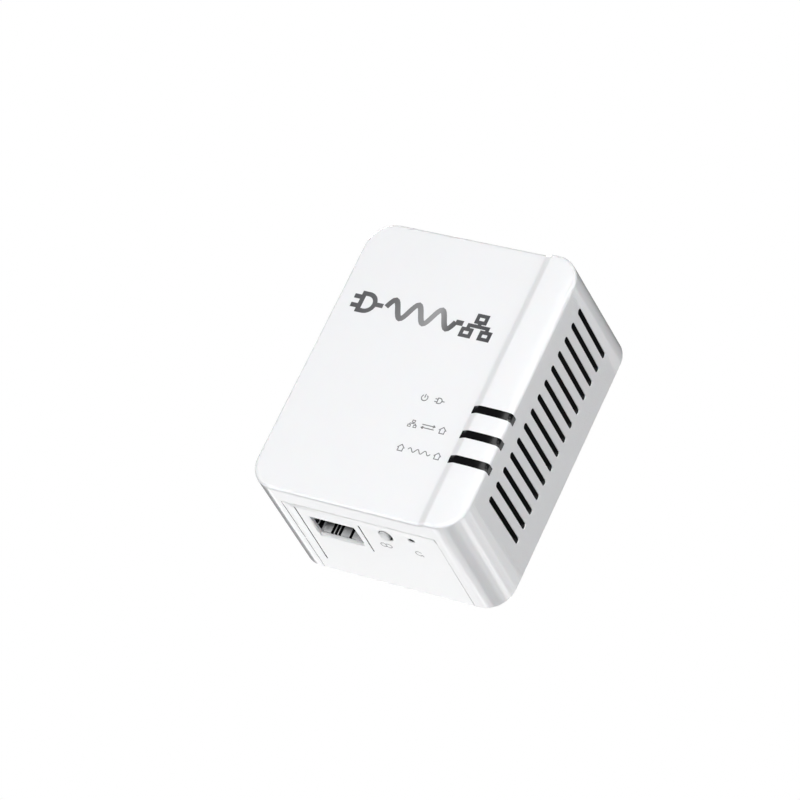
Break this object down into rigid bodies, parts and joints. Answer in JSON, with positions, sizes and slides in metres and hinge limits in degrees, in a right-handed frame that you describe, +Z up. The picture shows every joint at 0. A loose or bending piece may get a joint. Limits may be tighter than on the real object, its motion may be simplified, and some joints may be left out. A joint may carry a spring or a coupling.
{
  "type": "powerline adapter",
  "caption": "Upright box-shaped plug-in network adapter with side vent slots, three dark status windows, an Ethernet socket and sync button below, and a three-pin plug on its back.",
  "frame": {"origin": "on the flat face of the plug boss that meets the outlet, midway between the two flat blades", "axes": "+Y out of the wall face along the blades, into the outlet; +Z up as it hangs in the outlet; the front faces -Y and +X is to the right seen from the front"},
  "size_m": [0.058, 0.065, 0.077],
  "materials": {
    "shell_white": "gloss front, satin sides",
    "panel_white": "gloss",
    "cover_white": "fine matt texture",
    "button_white": "satin",
    "black_plastic": "matt",
    "window_black": "dark gloss",
    "insulating_film": "frosted film",
    "blade_metal": "nickel plated",
    "label_silver": "printed film, blank",
    "led_lens": "phosphor and clear resin",
    "board_green": "solder mask",
    "jack_plastic": "satin",
    "sheet_steel": "tin plated",
    "contact_gold": "gold plated",
    "chip_black": "moulded resin",
    "pad_rubber": "soft",
    "sink_aluminium": "anodised",
    "ferrite": "dull ferrite",
    "small_parts": "ceramic",
    "fuse_brown": "moulded cap",
    "disc_blue": "dipped epoxy",
    "box_yellow": "moulded box",
    "copper_wire": "enamelled",
    "tape_yellow": "polyester tape",
    "sleeve_dark": "shrink sleeve",
    "screw_steel": "zinc plated"
  },
  "bodies": {
    "body": {"front_shell": "shell_white", "port_panel": "panel_white", "rear_cover": "cover_white", "blade_carrier": "black_plastic", "insulating_sheet": "insulating_film", "line_blade": "blade_metal", "neutral_blade": "blade_metal", "ground_pin": "blade_metal", "rating_label": "label_silver", "status_lens": "window_black", "light_shield": "black_plastic", "power_led": "led_lens", "ethernet_led": "led_lens", "powerline_led": "led_lens", "main_board": "board_green", "power_board": "board_green", "jack_housing": "jack_plastic", "jack_shield": "sheet_steel", "jack_contacts": "contact_gold", "lan_transformer": "black_plastic", "processor": "chip_black", "thermal_pad": "pad_rubber", "heat_sink": "sink_aluminium", "memory_chip": "chip_black", "flash_chip": "chip_black", "ethernet_chip": "chip_black", "line_driver": "chip_black", "crystal": "sheet_steel", "power_inductor": "ferrite", "surface_mount_parts": "small_parts", "link_socket": "black_plastic", "link_header": "black_plastic", "link_pins": "contact_gold", "fuse": "fuse_brown", "varistor": "disc_blue", "x_capacitor": "box_yellow", "choke_core": "ferrite", "choke_windings": "copper_wire", "bridge_rectifier": "chip_black", "upper_bulk_capacitor": "sleeve_dark", "lower_bulk_capacitor": "sleeve_dark", "transformer_core": "ferrite", "transformer_bobbin": "black_plastic", "transformer_winding": "tape_yellow", "coupling_transformer": "tape_yellow", "safety_capacitor": "disc_blue", "output_capacitor": "sleeve_dark", "supply_controller": "chip_black", "sync_switch": "sheet_steel", "reset_switch": "sheet_steel", "cover_screws": "screw_steel", "main_board_screws": "screw_steel", "power_board_screws": "screw_steel"},
    "sync_button": {"sync_button": "button_white"},
    "sync_plunger": {"sync_plunger": "black_plastic"},
    "reset_plunger": {"reset_plunger": "black_plastic"}
  },
  "joints": [
    {"name": "sync_button_press", "type": "slide", "parent": "body", "child": "sync_button", "axis": [0, 0, 1], "range_m": [0, 0.0004], "stiffness_N_per_m": 200, "springref_m": -0.0005},
    {"name": "sync_plunger_travel", "type": "slide", "parent": "body", "child": "sync_plunger", "axis": [0, 0, 1], "range_m": [0, 0.0004]},
    {"name": "reset_press", "type": "slide", "parent": "body", "child": "reset_plunger", "axis": [0, 0, 1], "range_m": [0, 0.0003], "stiffness_N_per_m": 200, "springref_m": -0.0005}
  ],
  "couplings": [
    {"joint": "sync_plunger_travel", "follows": "sync_button_press", "ratio": 1}
  ]
}
